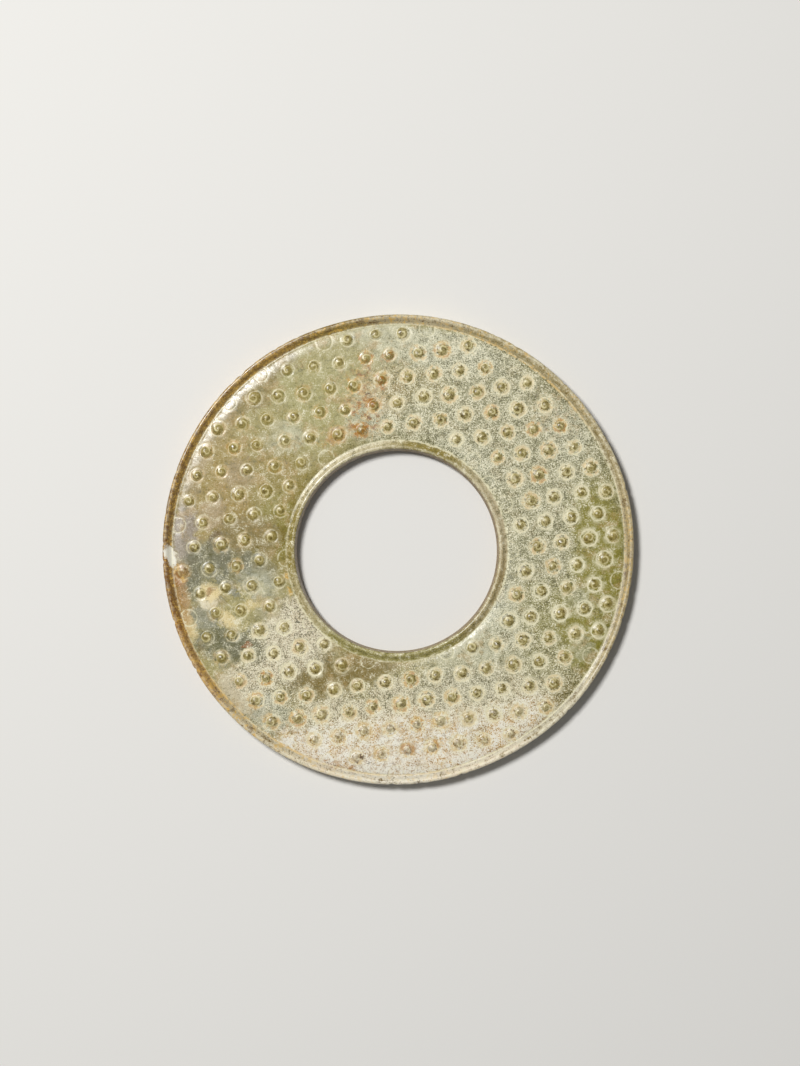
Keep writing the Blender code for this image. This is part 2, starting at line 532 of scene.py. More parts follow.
@dataclass
class JadeRing:
    """The carved ring, made as one closed mesh."""

    shape: RingShape = field(default_factory=RingShape)
    lattice: GrainLattice = field(default_factory=GrainLattice)
    curl: Curl = field(default_factory=Curl)
    dome: Dome = field(default_factory=Dome)
    plan: MeshPlan = field(default_factory=MeshPlan)
    worn: Wear = field(default_factory=Wear)
    bake_map: BakeMap = field(default_factory=BakeMap)
    rim_fade: float = 0.3 * MM
    beyond_grains: float = 9.0 * MM

    def __post_init__(self) -> None:
        """Lay out the grains."""
        self.grains = self.lattice.grains(self.shape)

    # Turned rims

    def _turn(self, name: str, section: list[tuple[float, float]], steps: int) -> bpy.types.Object:
        """Turn an open section about the ring's axis.

        Args:
            name: the new object's name.
            section: the section's points as (radius, height).
            steps: how many steps the full turn takes.

        Returns:
            The turned strip.
        """
        bpy.ops.object.select_all(action="DESELECT")
        radius, height = section[0]
        bpy.ops.mesh.primitive_plane_add(size=MM, location=(radius, 0, height))
        strip = bpy.context.object
        strip.name = name
        bpy.ops.object.transform_apply(location=True, rotation=False, scale=False)
        bpy.ops.object.mode_set(mode="EDIT")
        bpy.ops.mesh.select_mode(type="VERT")
        bpy.ops.mesh.select_all(action="SELECT")
        bpy.ops.mesh.merge(type="CENTER")
        for next_radius, next_height in section[1:]:
            step = (next_radius - radius, 0, next_height - height)
            bpy.ops.mesh.extrude_region_move(TRANSFORM_OT_translate={"value": step})
            radius, height = next_radius, next_height
        bpy.ops.mesh.select_all(action="SELECT")
        bpy.ops.mesh.spin(steps=steps, angle=TURN, center=(0, 0, 0), axis=(0, 0, 1), use_auto_merge=True)
        bpy.ops.object.mode_set(mode="OBJECT")
        return strip

    def _outer_section(self) -> list[tuple[float, float]]:
        """From the front's incised line over the outer rim and down the edge to the back's line."""
        rim, top = self.shape.outer_rim, self.shape.thickness
        edge = self.shape.outer_radius
        front = [(edge - q, top - rim.depth(q)) for q in rim.stations(*self.plan.front_stations)]
        back = [(edge - q, rim.depth(q)) for q in rim.stations(*self.plan.back_stations)]
        upright = top - 2 * rim.rounding_drop
        side = [(edge, rim.rounding_drop + upright * share) for share in self.plan.edge_levels]
        return front[::-1] + side + back

    def _inner_section(self) -> list[tuple[float, float]]:
        """From the front's incised line over the inner rim and through the hole to the back's line."""
        rim, top = self.shape.inner_rim, self.shape.thickness
        mouth, waist, flare = self.shape.mouth, self.shape.hole_radius, self.shape.hole_flare
        front = [(mouth + q, top - rim.depth(q)) for q in rim.stations(*self.plan.front_stations)]
        back = [(mouth + q, rim.depth(q)) for q in rim.stations(*self.plan.back_stations)]
        half = top / 2 - rim.rounding_drop
        wall = [(waist + flare * abs(share), top / 2 + half * share) for share in self.plan.wall_levels]
        return front[::-1] + wall + back

    # Carved fields

    def _circle(self, radius: float, steps: int) -> list[tuple[float, float]]:
        """A true circle of the turned ring, as it lies on the uneven one."""
        angle = np.arange(steps) * (TURN / steps)
        x, y = self.shape.uneven(radius * np.cos(angle), radius * np.sin(angle))
        return list(zip(x.tolist(), y.tolist()))

    @staticmethod
    def _placed(grain: Grain, rho: np.ndarray, turns: np.ndarray) -> list[tuple[float, float]]:
        """Points of a grain, given by distance and turns from its own start, in the ring's frame."""
        angle = grain.turn + grain.hand * turns * TURN
        x = grain.x + grain.size * rho * np.cos(angle)
        y = grain.y + grain.size * rho * np.sin(angle)
        return list(zip(x.tolist(), y.tolist()))

    def _in_field(self, points: list[tuple[float, float]], margin: float) -> list[tuple[float, float]]:
        """Those points that lie between the two incised lines, clear of both by a margin."""
        if not points:
            return []
        places = np.array(points)
        radius = self.shape.true_radius(places[:, 0], places[:, 1])
        kept = (radius > self.shape.inner_line + margin) & (radius < self.shape.outer_line - margin)
        return [point for point, keep in zip(points, kept) if keep]

    def _field_edges(self) -> Scatter:
        """The points of the two incised lines, which come first in a field's points."""
        scatter = Scatter()
        scatter.add(self._circle(self.shape.outer_line, self.plan.outer_steps), 0)
        scatter.add(self._circle(self.shape.inner_line, self.plan.inner_steps), 0)
        return scatter

    def _line_turns(self, grain: Grain) -> np.ndarray:
        """Evenly spaced stations along a finished grain's line, in turns."""
        turns = [0.0]
        while turns[-1] < 1 + grain.tail:
            radius = float(self.curl.radius(np.array(turns[-1])))
            turns.append(turns[-1] + self.plan.line_spacing / math.hypot(TURN * radius, self.curl.first_turn))
        return np.array(turns)

    def _front_points(self) -> Scatter:
        """The front field's points: rows along every incised line, and a looser scatter between them."""
        plan = self.plan
        scatter = self._field_edges()
        lip = self.shape.outer_rim.line_half_width
        scatter.add(self._circle(self.shape.outer_line - lip, plan.outer_steps), plan.lip_clearance)
        scatter.add(self._circle(self.shape.inner_line + lip, plan.inner_steps), plan.lip_clearance)
        margin = lip + plan.line_margin
        for side, least in plan.line_clearances:
            for grain in self.grains:
                if grain.finished:
                    turns = self._line_turns(grain)
                    rho = self.curl.radius(turns) + side * self.curl.half_width
                else:
                    turns = np.arange(plan.mark_steps) / plan.mark_steps
                    rho = np.full(plan.mark_steps, self.curl.marked_radius + side * self.curl.half_width)
                kept = rho > plan.eye_gap
                scatter.add(self._in_field(self._placed(grain, rho[kept], turns[kept]), margin), least)
        for share, count, least in plan.front_rings:
            for grain in self.grains:
                turns = (np.arange(count) + 0.5) / count
                rho = np.full(count, self.dome.radius * share)
                scatter.add(self._in_field(self._placed(grain, rho, turns), margin), least)
        self._add_ground(scatter, *plan.front_ground)
        return scatter

    def _back_points(self) -> Scatter:
        """The back field's points: a few rings for each plain dome, and a loose scatter between them."""
        clearance = self.plan.back_clearance
        scatter = self._field_edges()
        for share, count in self.plan.back_rings:
            for grain in self.grains:
                if grain.finished:
                    turns = np.arange(count) / count
                    rho = np.full(count, self.dome.radius * share)
                    scatter.add(self._in_field(self._placed(grain, rho, turns), clearance), clearance)
        self._add_ground(scatter, *self.plan.back_ground)
        return scatter

    def _add_ground(self, scatter: Scatter, spacing: float, clearance: float) -> None:
        """Fill the field between the grains with a jittered triangular lattice of points."""
        chance, jitter = random.Random(self.plan.ground_seed), self.plan.ground_jitter
        count = math.ceil(self.shape.outer_radius / spacing) + 1
        rows = round(count * self.plan.ground_rows)
        ground = []
        for row in range(-rows, rows + 1):
            for column in range(-count, count + 1):
                x = (column + 0.5 * (row % 2) + chance.uniform(-jitter, jitter)) * spacing
                y = (row * math.sqrt(0.75) + chance.uniform(-jitter, jitter)) * spacing
                ground.append((x, y))
        scatter.add(self._in_field(ground, self.plan.ground_margin), clearance)

    def _nearest(self, x: np.ndarray, y: np.ndarray) -> np.ndarray:
        """The index of the grain nearest to each point."""
        centres = np.array([(grain.x, grain.y) for grain in self.grains])
        nearest = np.empty(len(x), int)
        for start in range(0, len(x), self.plan.places_at_once):
            part = slice(start, start + self.plan.places_at_once)
            away = (x[part, None] - centres[:, 0]) ** 2 + (y[part, None] - centres[:, 1]) ** 2
            nearest[part] = away.argmin(axis=1)
        return nearest

    def _own_frame(self, x: np.ndarray, y: np.ndarray, nearest: np.ndarray) -> tuple[np.ndarray, np.ndarray]:
        """Places in the frame of a grain, in which every curl starts along +X and winds the same way."""
        table = np.array([(g.x, g.y, g.turn, g.hand, g.size) for g in self.grains])[nearest]
        dx, dy = (x - table[:, 0]) / table[:, 4], (y - table[:, 1]) / table[:, 4]
        cos, sin = np.cos(table[:, 2]), np.sin(table[:, 2])
        return dx * cos + dy * sin, (dy * cos - dx * sin) * table[:, 3]

    def _heights(self, x: np.ndarray, y: np.ndarray, face: Face) -> np.ndarray:
        """The carved surface's height at points of a field."""
        radius = self.shape.true_radius(x, y)
        ground = np.array([self.shape.depth(r) for r in radius.tolist()])
        nearest = self._nearest(x, y)
        u, v = self._own_frame(x, y, nearest)
        rho, share = np.hypot(u, v), (np.arctan2(v, u) / TURN) % 1
        traits = np.array([(g.tail, g.wear, g.finished) for g in self.grains])[nearest]
        if face is Face.BACK:
            return ground - np.where(traits[:, 2] > 0, self.dome.back_rise(rho), 0)
        line_depth = self.curl.depth * (1 - self.curl.worn_share * traits[:, 1])
        finished = self.dome.rise(rho, traits[:, 1]) - line_depth * self.curl.notch(rho, share, traits[:, 0])
        marked = -self.curl.foot_share * line_depth * self.curl.mark(rho)
        to_rims = np.minimum(radius - self.shape.inner_line, self.shape.outer_line - radius)
        clear = np.clip(to_rims / self.rim_fade, 0, 1)
        return self.shape.thickness - ground + clear * np.where(traits[:, 2] > 0, finished, marked)

    def _carve_field(self, name: str, scatter: Scatter, face: Face) -> bpy.types.Object:
        """Make one field's mesh through its points, with the heights of the carving."""
        outer, inner = self.plan.outer_steps, self.plan.inner_steps
        loops = [(i, (i + 1) % outer) for i in range(outer)]
        loops += [(outer + i, outer + (i + 1) % inner) for i in range(inner)]
        flat = [Vector(point) for point in scatter.points]
        tolerance = self.plan.triangle_tolerance
        places, _, triangles, origins, _, _ = delaunay_2d_cdt(flat, loops, [], 0, tolerance)
        on_rim = [bool(source) and source[0] < outer + inner for source in origins]
        kept = [triangle for triangle in triangles if not all(on_rim[i] for i in triangle)]
        x, y = np.array([place.x for place in places]), np.array([place.y for place in places])
        z = self._heights(x, y, face)
        mesh = bpy.data.meshes.new(name)
        mesh.from_pydata(list(zip(x.tolist(), y.tolist(), z.tolist())), [], kept)
        part = bpy.data.objects.new(name, mesh)
        bpy.context.scene.collection.objects.link(part)
        log.info("%s: %d points, %d triangles", name, len(places), len(kept))
        return part

    # The whole ring

    def _take_out_of_true(self, strip: bpy.types.Object) -> None:
        """Move a turned strip's vertices onto the uneven ring."""
        places = vertex_places(strip.data)
        places[:, 0], places[:, 1] = self.shape.uneven(places[:, 0], places[:, 1])
        move_vertices(strip.data, places)

    def _wear(self, ring: bpy.types.Object) -> None:
        """Give the ground surfaces their slight undulation, and the rims their small nicks."""
        worn = self.worn
        places = vertex_places(ring.data)
        radius = self.shape.true_radius(places[:, 0], places[:, 1])
        middle = self.shape.thickness / 2
        for index, (x, y, z) in enumerate(places.tolist()):
            wave = noise.noise(Vector((x, y, z)) / worn.undulation_length)
            wave += 0.5 * noise.noise(Vector((y, x, z)) / (worn.ripple_share * worn.undulation_length))
            if z > middle:
                places[index, 2] += worn.undulation * (wave - 1.0)
            else:
                places[index, 2] += 0.5 * worn.undulation * max(0.0, wave)
            edge = 1 - abs(radius[index] - self.shape.outer_radius) / worn.nick_reach
            if edge > 0:
                nick = noise.noise(Vector((x, y, 0.2 * z)) / worn.nick_length) - worn.nick_level
                if nick > 0:
                    places[index, :2] *= 1 - worn.nick_depth * nick * edge / radius[index]
        move_vertices(ring.data, places)

    def _lay_maps(self, ring: bpy.types.Object) -> None:
        """Store what the finish follows: each grain's own frame and traits, the true radius, the bake map."""
        mesh = ring.data
        places = vertex_places(mesh)
        corners = np.empty(len(mesh.loops), int)
        mesh.loops.foreach_get("vertex_index", corners)
        sizes = np.empty(len(mesh.polygons), int)
        mesh.polygons.foreach_get("loop_total", sizes)
        middles = np.empty(len(mesh.polygons) * 3)
        mesh.polygons.foreach_get("center", middles)
        middles = middles.reshape(-1, 3)
        radius = self.shape.true_radius(places[:, 0], places[:, 1])
        middle_radius = self.shape.true_radius(middles[:, 0], middles[:, 1])

        nearest = self._nearest(middles[:, 0], middles[:, 1])
        in_field = (middle_radius > self.shape.inner_line) & (middle_radius < self.shape.outer_line)
        own = np.repeat(nearest, sizes)
        u, v = self._own_frame(places[corners, 0], places[corners, 1], own)
        far = ~np.repeat(in_field, sizes)
        u[far] = v[far] = self.beyond_grains
        grain_map = mesh.uv_layers.new(name="grain")
        grain_map.data.foreach_set("uv", (np.stack([u, v], axis=1) / MM).ravel())

        traits = np.array([(g.rust, g.wear, g.tail, float(g.finished)) for g in self.grains])[own]
        table = mesh.color_attributes.new(name="grain_traits", type="FLOAT_COLOR", domain="CORNER")
        table.data.foreach_set("color", traits.ravel())
        true_radius = mesh.attributes.new(name="true_radius", type="FLOAT", domain="POINT")
        true_radius.data.foreach_set("value", radius / MM)
        self._lay_bake_map(mesh, places, corners, np.repeat(middles[:, 2], sizes), radius)

    def _lay_bake_map(
        self,
        mesh: bpy.types.Mesh,
        places: np.ndarray,
        corners: np.ndarray,
        face_height: np.ndarray,
        radius: np.ndarray,
    ) -> None:
        """Lay the front with both walls as one large disc of the bake map, and the back as a smaller one."""
        drop = self.shape.outer_rim.rounding_drop
        top = self.shape.thickness - drop
        laid = self.bake_map
        own_radius, height = radius[corners], places[corners, 2]
        angle = np.arctan2(places[corners, 1], places[corners, 0])
        down = np.maximum(0, top - height)
        on_edge = own_radius > self.shape.outer_radius - laid.wall_tolerance
        in_hole = own_radius < self.shape.mouth + laid.wall_tolerance
        unrolled = np.where(on_edge, self.shape.outer_radius + down, own_radius)
        unrolled = np.where(in_hole, self.shape.mouth - down, unrolled)
        is_back = face_height < drop
        front_scale = laid.front_reach / (self.shape.outer_radius + top - drop)
        back_scale = laid.back_reach / self.shape.outer_radius
        reach = np.where(is_back, own_radius * back_scale, unrolled * front_scale)
        centre = np.where(is_back, laid.back_centre, laid.front_centre)
        mirror = np.where(is_back, -1, 1)
        both = np.stack([centre + mirror * reach * np.cos(angle), centre + reach * np.sin(angle)], axis=1)
        mesh.uv_layers.new(name="OFBake").data.foreach_set("uv", both.ravel())

    def build(self) -> bpy.types.Object:
        """Make the ring: turn its rims, carve its fields, join them, and wear the whole.

        Returns:
            The finished mesh object, without its finish.
        """
        ring = self._turn("jade_ring", self._outer_section(), self.plan.outer_steps)
        bore = self._turn("bore", self._inner_section(), self.plan.inner_steps)
        self._take_out_of_true(ring)
        self._take_out_of_true(bore)
        front = self._carve_field("front_field", self._front_points(), Face.FRONT)
        back = self._carve_field("back_field", self._back_points(), Face.BACK)
        bpy.ops.object.select_all(action="DESELECT")
        for part in (ring, bore, front, back):
            part.select_set(True)
        bpy.context.view_layer.objects.active = ring
        bpy.ops.object.join()
        bpy.ops.object.mode_set(mode="EDIT")
        bpy.ops.mesh.select_all(action="SELECT")
        bpy.ops.mesh.remove_doubles(threshold=self.plan.merge_distance)
        bpy.ops.mesh.normals_make_consistent(inside=False)
        bpy.ops.object.mode_set(mode="OBJECT")
        self._wear(ring)
        bpy.ops.object.shade_smooth()
        self._lay_maps(ring)
        return ring


# ---------------------------------------------------------------------------------------------------------
# Shader maths
# ---------------------------------------------------------------------------------------------------------


class Signal:
    """A node's output in shader maths: an expression on it adds its Math nodes."""

    def __init__(self, shader: "Shader", socket: bpy.types.NodeSocket) -> None:
        """Wrap an output socket of a shader's node."""
        self.shader = shader
        self.socket = socket

    def _maths(self, operation: str, *values: "Signal | float") -> "Signal":
        """One Math node."""
        return self.shader.node("ShaderNodeMath", {"operation": operation}, dict(enumerate(values)))

    def __add__(self, other: "Signal | float") -> "Signal":
        """Sum."""
        return self._maths("ADD", self, other)

    __radd__ = __add__

    def __sub__(self, other: "Signal | float") -> "Signal":
        """Difference."""
        return self._maths("SUBTRACT", self, other)

    def __rsub__(self, other: "Signal | float") -> "Signal":
        """Difference from a number."""
        return self._maths("SUBTRACT", other, self)

    def __mul__(self, other: "Signal | float") -> "Signal":
        """Product."""
        return self._maths("MULTIPLY", self, other)

    __rmul__ = __mul__

    def __truediv__(self, other: "Signal | float") -> "Signal":
        """Quotient."""
        return self._maths("DIVIDE", self, other)

    def __pow__(self, power: "Signal | float") -> "Signal":
        """Power."""
        return self._maths("POWER", self, power)

    def __abs__(self) -> "Signal":
        """Size without sign."""
        return self._maths("ABSOLUTE", self)

    def fraction(self) -> "Signal":
        """What is past the last whole number."""
        return self._maths("FRACT", self)

    def most(self, other: "Signal | float") -> "Signal":
        """The greater of two."""
        return self._maths("MAXIMUM", self, other)

    def ramp(self, start: float, end: float, top: float = 1.0) -> "Signal":
        """A smooth step from 0 at the start value to its top at the end value, which may be the lower one."""
        return self.shader.node(
            "ShaderNodeMapRange",
            {"interpolation_type": "SMOOTHSTEP", "clamp": True},
            {"Value": self, "From Min": start, "From Max": end, "To Min": 0.0, "To Max": top},
        )


@dataclass(frozen=True)
class Tone:
    """A colour of the stone, as 8-bit display values."""

    red: int
    green: int
    blue: int

    def linear(self) -> tuple[float, float, float, float]:
        """The colour as the shader needs it."""
        shares = [value / 255 for value in (self.red, self.green, self.blue)]
        light = [s / 12.92 if s <= 0.04045 else ((s + 0.055) / 1.055) ** 2.4 for s in shares]
        return (light[0], light[1], light[2], 1.0)


class Shader:
    """Builds one material's node tree."""

    def __init__(self, name: str) -> None:
        """Start a material with a Principled BSDF."""
        self.material = bpy.data.materials.new(name)
        self.material.use_nodes = True
        self.tree = self.material.node_tree
        self.surface = self.tree.nodes["Principled BSDF"]

    def node(
        self,
        kind: str,
        settings: dict[str, object],
        sockets: dict[int | str, object],
        output: int | str = 0,
    ) -> Signal:
        """Add a node.

        Args:
            kind: the node's type.
            settings: its settings, which are set first.
            sockets: values or signals for its inputs, by name or number.
            output: which output to return.

        Returns:
            The output, as a signal.
        """
        node = self.tree.nodes.new(kind)
        for name, value in settings.items():
            setattr(node, name, value)
        for key, value in sockets.items():
            if isinstance(value, Signal):
                self.tree.links.new(value.socket, node.inputs[key])
            elif isinstance(value, Tone):
                node.inputs[key].default_value = value.linear()
            else:
                node.inputs[key].default_value = value
        return Signal(self, node.outputs[output])

    def mix(self, under: "Signal | Tone", over: "Signal | Tone", factor: Signal, mode: str = "MIX") -> Signal:
        """Lay one colour over another."""
        settings = {"data_type": "RGBA", "blend_type": mode, "clamp_factor": True}
        return self.node("ShaderNodeMix", settings, {0: factor, 6: under, 7: over}, 2)

    def vector(self, operation: str, *values: object, output: int | str = 0) -> Signal:
        """One Vector Math node."""
        return self.node("ShaderNodeVectorMath", {"operation": operation}, dict(enumerate(values)), output)

    def parts(self, vector: Signal) -> list[Signal]:
        """The three numbers of a vector."""
        split = self.node("ShaderNodeSeparateXYZ", {}, {0: vector}).socket.node
        return [Signal(self, socket) for socket in split.outputs]

    def scaled(self, vector: Signal, scale: float) -> Signal:
        """A vector times a number."""
        return self.node("ShaderNodeVectorMath", {"operation": "SCALE"}, {0: vector, "Scale": scale})

    def noise(
        self, place: Signal, scale: float, detail: float, roughness: float, colour: bool = False
    ) -> Signal:
        """Fractal noise at a place: a value, or three of them as a colour."""
        sockets = {"Vector": place, "Scale": scale, "Detail": detail, "Roughness": roughness}
        return self.node("ShaderNodeTexNoise", {}, sockets, "Color" if colour else "Fac")

    def feed(self, socket: str, value: object) -> None:
        """Give the surface shader a value or a signal."""
        if isinstance(value, Signal):
            self.tree.links.new(value.socket, self.surface.inputs[socket])
        else:
            self.surface.inputs[socket].default_value = value


# ---------------------------------------------------------------------------------------------------------
# The stone's finish
# ---------------------------------------------------------------------------------------------------------


@dataclass(frozen=True)
class Patch:
    """A part of the stone's surface with a ragged edge. Places and reaches are in millimetres."""

    x: float
    y: float
    reach_x: float
    reach_y: float
    turn: float = 0.0
    strength: float = 0.8
    softness: float = 0.45


@dataclass(frozen=True)
class Stain:
    """A patch with a tone of its own."""

    tone: Tone
    patch: Patch


class Stone(Enum):
    """The tones of the jade and of what has gathered in it."""

    GREY_OLIVE = Tone(164, 153, 99)
    CLEAR_GREEN = Tone(162, 155, 95)
    PALE_GREEN = Tone(176, 169, 122)
    OLIVE = Tone(137, 129, 44)
    OLIVE_TAN = Tone(145, 128, 58)
    OLIVE_BROWN = Tone(127, 108, 44)
    WARM = Tone(176, 147, 92)
    SKIN = Tone(156, 153, 116)
    MILKY = Tone(200, 199, 172)
    MIST = Tone(176, 177, 156)
    CREAM_WHITE = Tone(206, 193, 164)
    LAVENDER = Tone(174, 153, 122)
    LAVENDER_TAN = Tone(152, 127, 54)
    LAVENDER_GREY = Tone(149, 136, 124)
    PEACH = Tone(236, 221, 196)
    CREAM = Tone(220, 209, 178)
    YELLOW_CREAM = Tone(226, 205, 148)
    YELLOW_GREEN = Tone(168, 156, 92)
    BLUE_GREY = Tone(136, 136, 116)
    SLATE = Tone(100, 98, 70)
    BOTTLE_GREEN = Tone(96, 94, 52)
    GREY_SPECKLED = Tone(160, 154, 124)
    WHITE = Tone(236, 232, 216)
    RUST = Tone(150, 96, 30)
    RUST_RED = Tone(142, 88, 28)
    ORANGE = Tone(210, 168, 80)
    BURNT = Tone(174, 116, 34)
    APRICOT = Tone(216, 178, 112)
    OCHRE = Tone(166, 124, 62)
    BROWN = Tone(154, 121, 60)
    UMBER = Tone(122, 92, 48)
    DARK_BROWN = Tone(88, 62, 30)
    RUST_DARK = Tone(108, 72, 34)
    TAN = Tone(174, 158, 115)
    BONE = Tone(206, 197, 170)
    HALO = Tone(229, 223, 188)
    DOME = Tone(156, 140, 76)
    DOME_WORN = Tone(164, 138, 86)
    DOME_SHADE = Tone(86, 70, 28)
    DOME_LIGHT = Tone(214, 202, 150)
    LINE = Tone(226, 219, 182)
    SHADE = Tone(96, 92, 52)
    LIGHT = Tone(232, 226, 196)
    PIT = Tone(48, 38, 28)

    def stain(self, *patch: float) -> Stain:
        """A stain of this tone on the patch that the numbers give."""
        return Stain(self.value, Patch(*patch))


FIELD_STAINS = (
    Stone.SKIN.stain(26, 12, 32, 44, 20, 0.85),
    Stone.MILKY.stain(22, -17, 9, 9, 45, 0.55),
    Stone.MILKY.stain(15, -27, 9, 5, 10, 0.55),
    Stone.MILKY.stain(16, 20, 9, 5, -35, 0.5),
    Stone.MILKY.stain(40, 28, 6, 8, -30, 0.45),
    Stone.CLEAR_GREEN.stain(-21, 34, 17, 11, 25, 0.8),
    Stone.PALE_GREEN.stain(-9, 44, 9, 8, 10, 0.4),
    Stone.OLIVE_TAN.stain(-31, 8, 11, 19, -12, 0.95),
    Stone.OLIVE.stain(-28.5, 6, 4, 8, 5, 0.6),
    Stone.LAVENDER_TAN.stain(-43, 16, 8, 15, -10, 0.8),
    Stone.LAVENDER_TAN.stain(-38, 7, 5, 5, 0, 0.9),
    Stone.LAVENDER.stain(-43.5, 8.5, 3.5, 3.5, 0, 0.6),
    Stone.LAVENDER.stain(-37.5, 18, 4, 4, 0, 0.5),
    Stone.LAVENDER.stain(-37, 36, 5, 15, -45, 0.3),
    Stone.OLIVE_BROWN.stain(-33.5, 39, 16, 4.2, 50, 0.85),
    Stone.LAVENDER.stain(-49, 18, 3.5, 12, -15, 0.5),
    Stone.CREAM_WHITE.stain(-27, -23, 11, 8.5, -30, 0.9),
    Stone.CREAM_WHITE.stain(-36, -33, 8, 7, -40, 0.8),
    Stone.CREAM_WHITE.stain(-20.5, -16.5, 8, 6, -40, 1.0),
    Stone.PEACH.stain(-1, -47, 31, 9, 5, 0.9),
    Stone.PEACH.stain(27, -46, 13, 6, 25, 0.95),
    Stone.WHITE.stain(-4, -52, 10, 4, 0, 0.8),
    Stone.CREAM_WHITE.stain(-12, -39, 12, 4.5, -4, 0.75),
    Stone.MILKY.stain(-14, -43, 8, 3.5, -15, 0.7),
    Stone.MILKY.stain(16, -44, 8, 3.5, 12, 0.7),
    Stone.CREAM.stain(10, -38, 26, 7, 12, 0.8),
    Stone.MIST.stain(-30, -38.5, 6, 5, -40, 0.65),
    Stone.CREAM.stain(29.5, -40, 8, 5, 38, 0.75),
    Stone.OLIVE_BROWN.stain(-13.0, -28.6, 15, 5.4, 16, 1.0),
    Stone.GREY_SPECKLED.stain(14, -32, 14, 4.5, 12, 0.6),
    Stone.OLIVE.stain(47, 0, 7.5, 18, 3, 1.0),
    Stone.OLIVE.stain(45, -21.5, 6.2, 15, 28, 1.0),
    Stone.MILKY.stain(41.5, -12.5, 4, 2.6, 20, 0.5),
    Stone.MILKY.stain(43, -22.5, 2.4, 4, 25, 0.45),
    Stone.MILKY.stain(-7, 31, 5, 6, 0, 0.6),
    Stone.CREAM_WHITE.stain(-2, -33, 4.5, 2.4, 5, 0.6),
    Stone.OLIVE.stain(34, -14, 8, 7, 20, 0.6),
    Stone.OLIVE_BROWN.stain(39, -34, 4, 5, -40, 0.6),
    Stone.MILKY.stain(-26.5, 26, 5, 3.5, 10, 0.55),
    Stone.WARM.stain(-3, 37, 6, 6, 5, 0.45),
    Stone.OLIVE_BROWN.stain(-51, 14, 3.2, 17, -14, 0.6),
    Stone.OLIVE_BROWN.stain(-34.5, 3.5, 8.5, 5, 0, 0.95),
    Stone.OLIVE.stain(50.5, -9, 4, 17, 8, 0.85),
    Stone.OLIVE_TAN.stain(-28, 19, 7, 5, 20, 0.7),
    Stone.MILKY.stain(7, 47.5, 20, 4.5, -10, 0.6),
    Stone.LAVENDER_GREY.stain(-50.2, 3.5, 3.4, 7.5, -4, 0.85),
    Stone.OLIVE_TAN.stain(5, 37.5, 7, 4.5, 0, 0.6),
    Stone.OLIVE_TAN.stain(-32, 31, 6, 9, 0, 0.4),
    Stone.OLIVE.stain(36, -23, 6, 4.5, 20, 0.4),
    Stone.WHITE.stain(28, -43, 6, 3, 33, 0.5),
)

CLOSE_STAINS = (
    Stone.SLATE.stain(-37, -4, 9, 3.6, -10, 0.6),
    Stone.BLUE_GREY.stain(-46, -15, 3.5, 1.8, 10, 0.8),
    Stone.SLATE.stain(-47.6, -7.5, 2.8, 4, 10, 0.75, 0.7),
    Stone.SLATE.stain(-41, -22.8, 8, 3.2, -12, 0.65),
    Stone.MILKY.stain(-32.5, -8, 4.5, 3.2, -15, 0.5, 0.8),
    Stone.BOTTLE_GREEN.stain(-38.5, -22, 8, 3.4, -20, 0.85),
    Stone.BLUE_GREY.stain(-46, -17.5, 3.2, 1.5, -10, 0.7),
    Stone.CREAM.stain(-44.5, -11.9, 2.3, 2.6, 20, 0.95, 0.4),
    Stone.YELLOW_CREAM.stain(-44.0, -9.9, 2.6, 2.3, 20, 0.95, 0.5),
    Stone.YELLOW_CREAM.stain(-48.8, -17.5, 1.4, 3.6, 14, 0.8, 0.8),
    Stone.YELLOW_GREEN.stain(-37, -15, 5.5, 3.6, -20, 0.7),
    Stone.YELLOW_CREAM.stain(-39.5, -16.4, 2.6, 1.5, -40, 0.8, 0.7),
    Stone.YELLOW_CREAM.stain(-34.5, -13.0, 2.8, 1.3, 25, 0.6, 0.7),
    Stone.OCHRE.stain(-44.0, -9.8, 1.3, 0.7, 35, 0.9, 0.6),
    Stone.DARK_BROWN.stain(-42.4, 2.2, 2.4, 1.9, 30, 0.7),
    Stone.DARK_BROWN.stain(-48.2, -3.2, 2.6, 0.5, 35, 0.6),
    Stone.SLATE.stain(-44.5, -2, 6, 4, 15, 0.8),
    Stone.SLATE.stain(-41.5, -7, 4, 2.2, 0, 0.35, 0.8),
    Stone.UMBER.stain(-51.6, -8.5, 1.6, 4.5, 12, 0.75, 0.8),
    Stone.SLATE.stain(-37.5, -22.5, 4, 3, -20, 0.5, 0.8),
    Stone.SLATE.stain(-33, -2.5, 3.5, 2.5, 0, 0.35, 0.8),
    Stone.OLIVE_BROWN.stain(-37, 3, 4, 4, 0, 0.4, 0.8),
    Stone.OCHRE.stain(-51.2, -11.5, 2.2, 7, 14, 0.8, 0.9),
    Stone.RUST.stain(-51.0, -5.8, 1.9, 2.6, 0, 0.8),
    Stone.ORANGE.stain(-51.7, -4.6, 0.5, 0.9, -20, 0.85, 0.6),
    Stone.ORANGE.stain(-50.1, -6.8, 0.4, 1.2, -15, 0.85, 0.6),
    Stone.OCHRE.stain(-14.5, 26.5, 2.4, 2.0, 0, 0.8),
    Stone.DARK_BROWN.stain(-7.1, 36.3, 0.6, 0.35, 10, 0.85),
    Stone.DARK_BROWN.stain(-6.9, 42.0, 0.7, 0.3, -45, 0.7),
    Stone.RUST_RED.stain(-35.6, -22.5, 1.4, 0.6, 35, 0.9, 0.3),
    Stone.WHITE.stain(-4, -51, 9, 3.2, 0, 0.6, 0.9),
    Stone.ORANGE.stain(-25.8, -6.2, 0.7, 0.8, 0, 0.9, 0.3),
    Stone.ORANGE.stain(-25.4, -9.8, 0.6, 0.8, 0, 0.8, 0.3),
    Stone.PIT.stain(-19.2, -17.6, 0.8, 0.5, -30, 0.9, 0.3),
    Stone.PIT.stain(-23.4, -16.6, 0.5, 0.35, 0, 0.8, 0.3),
)

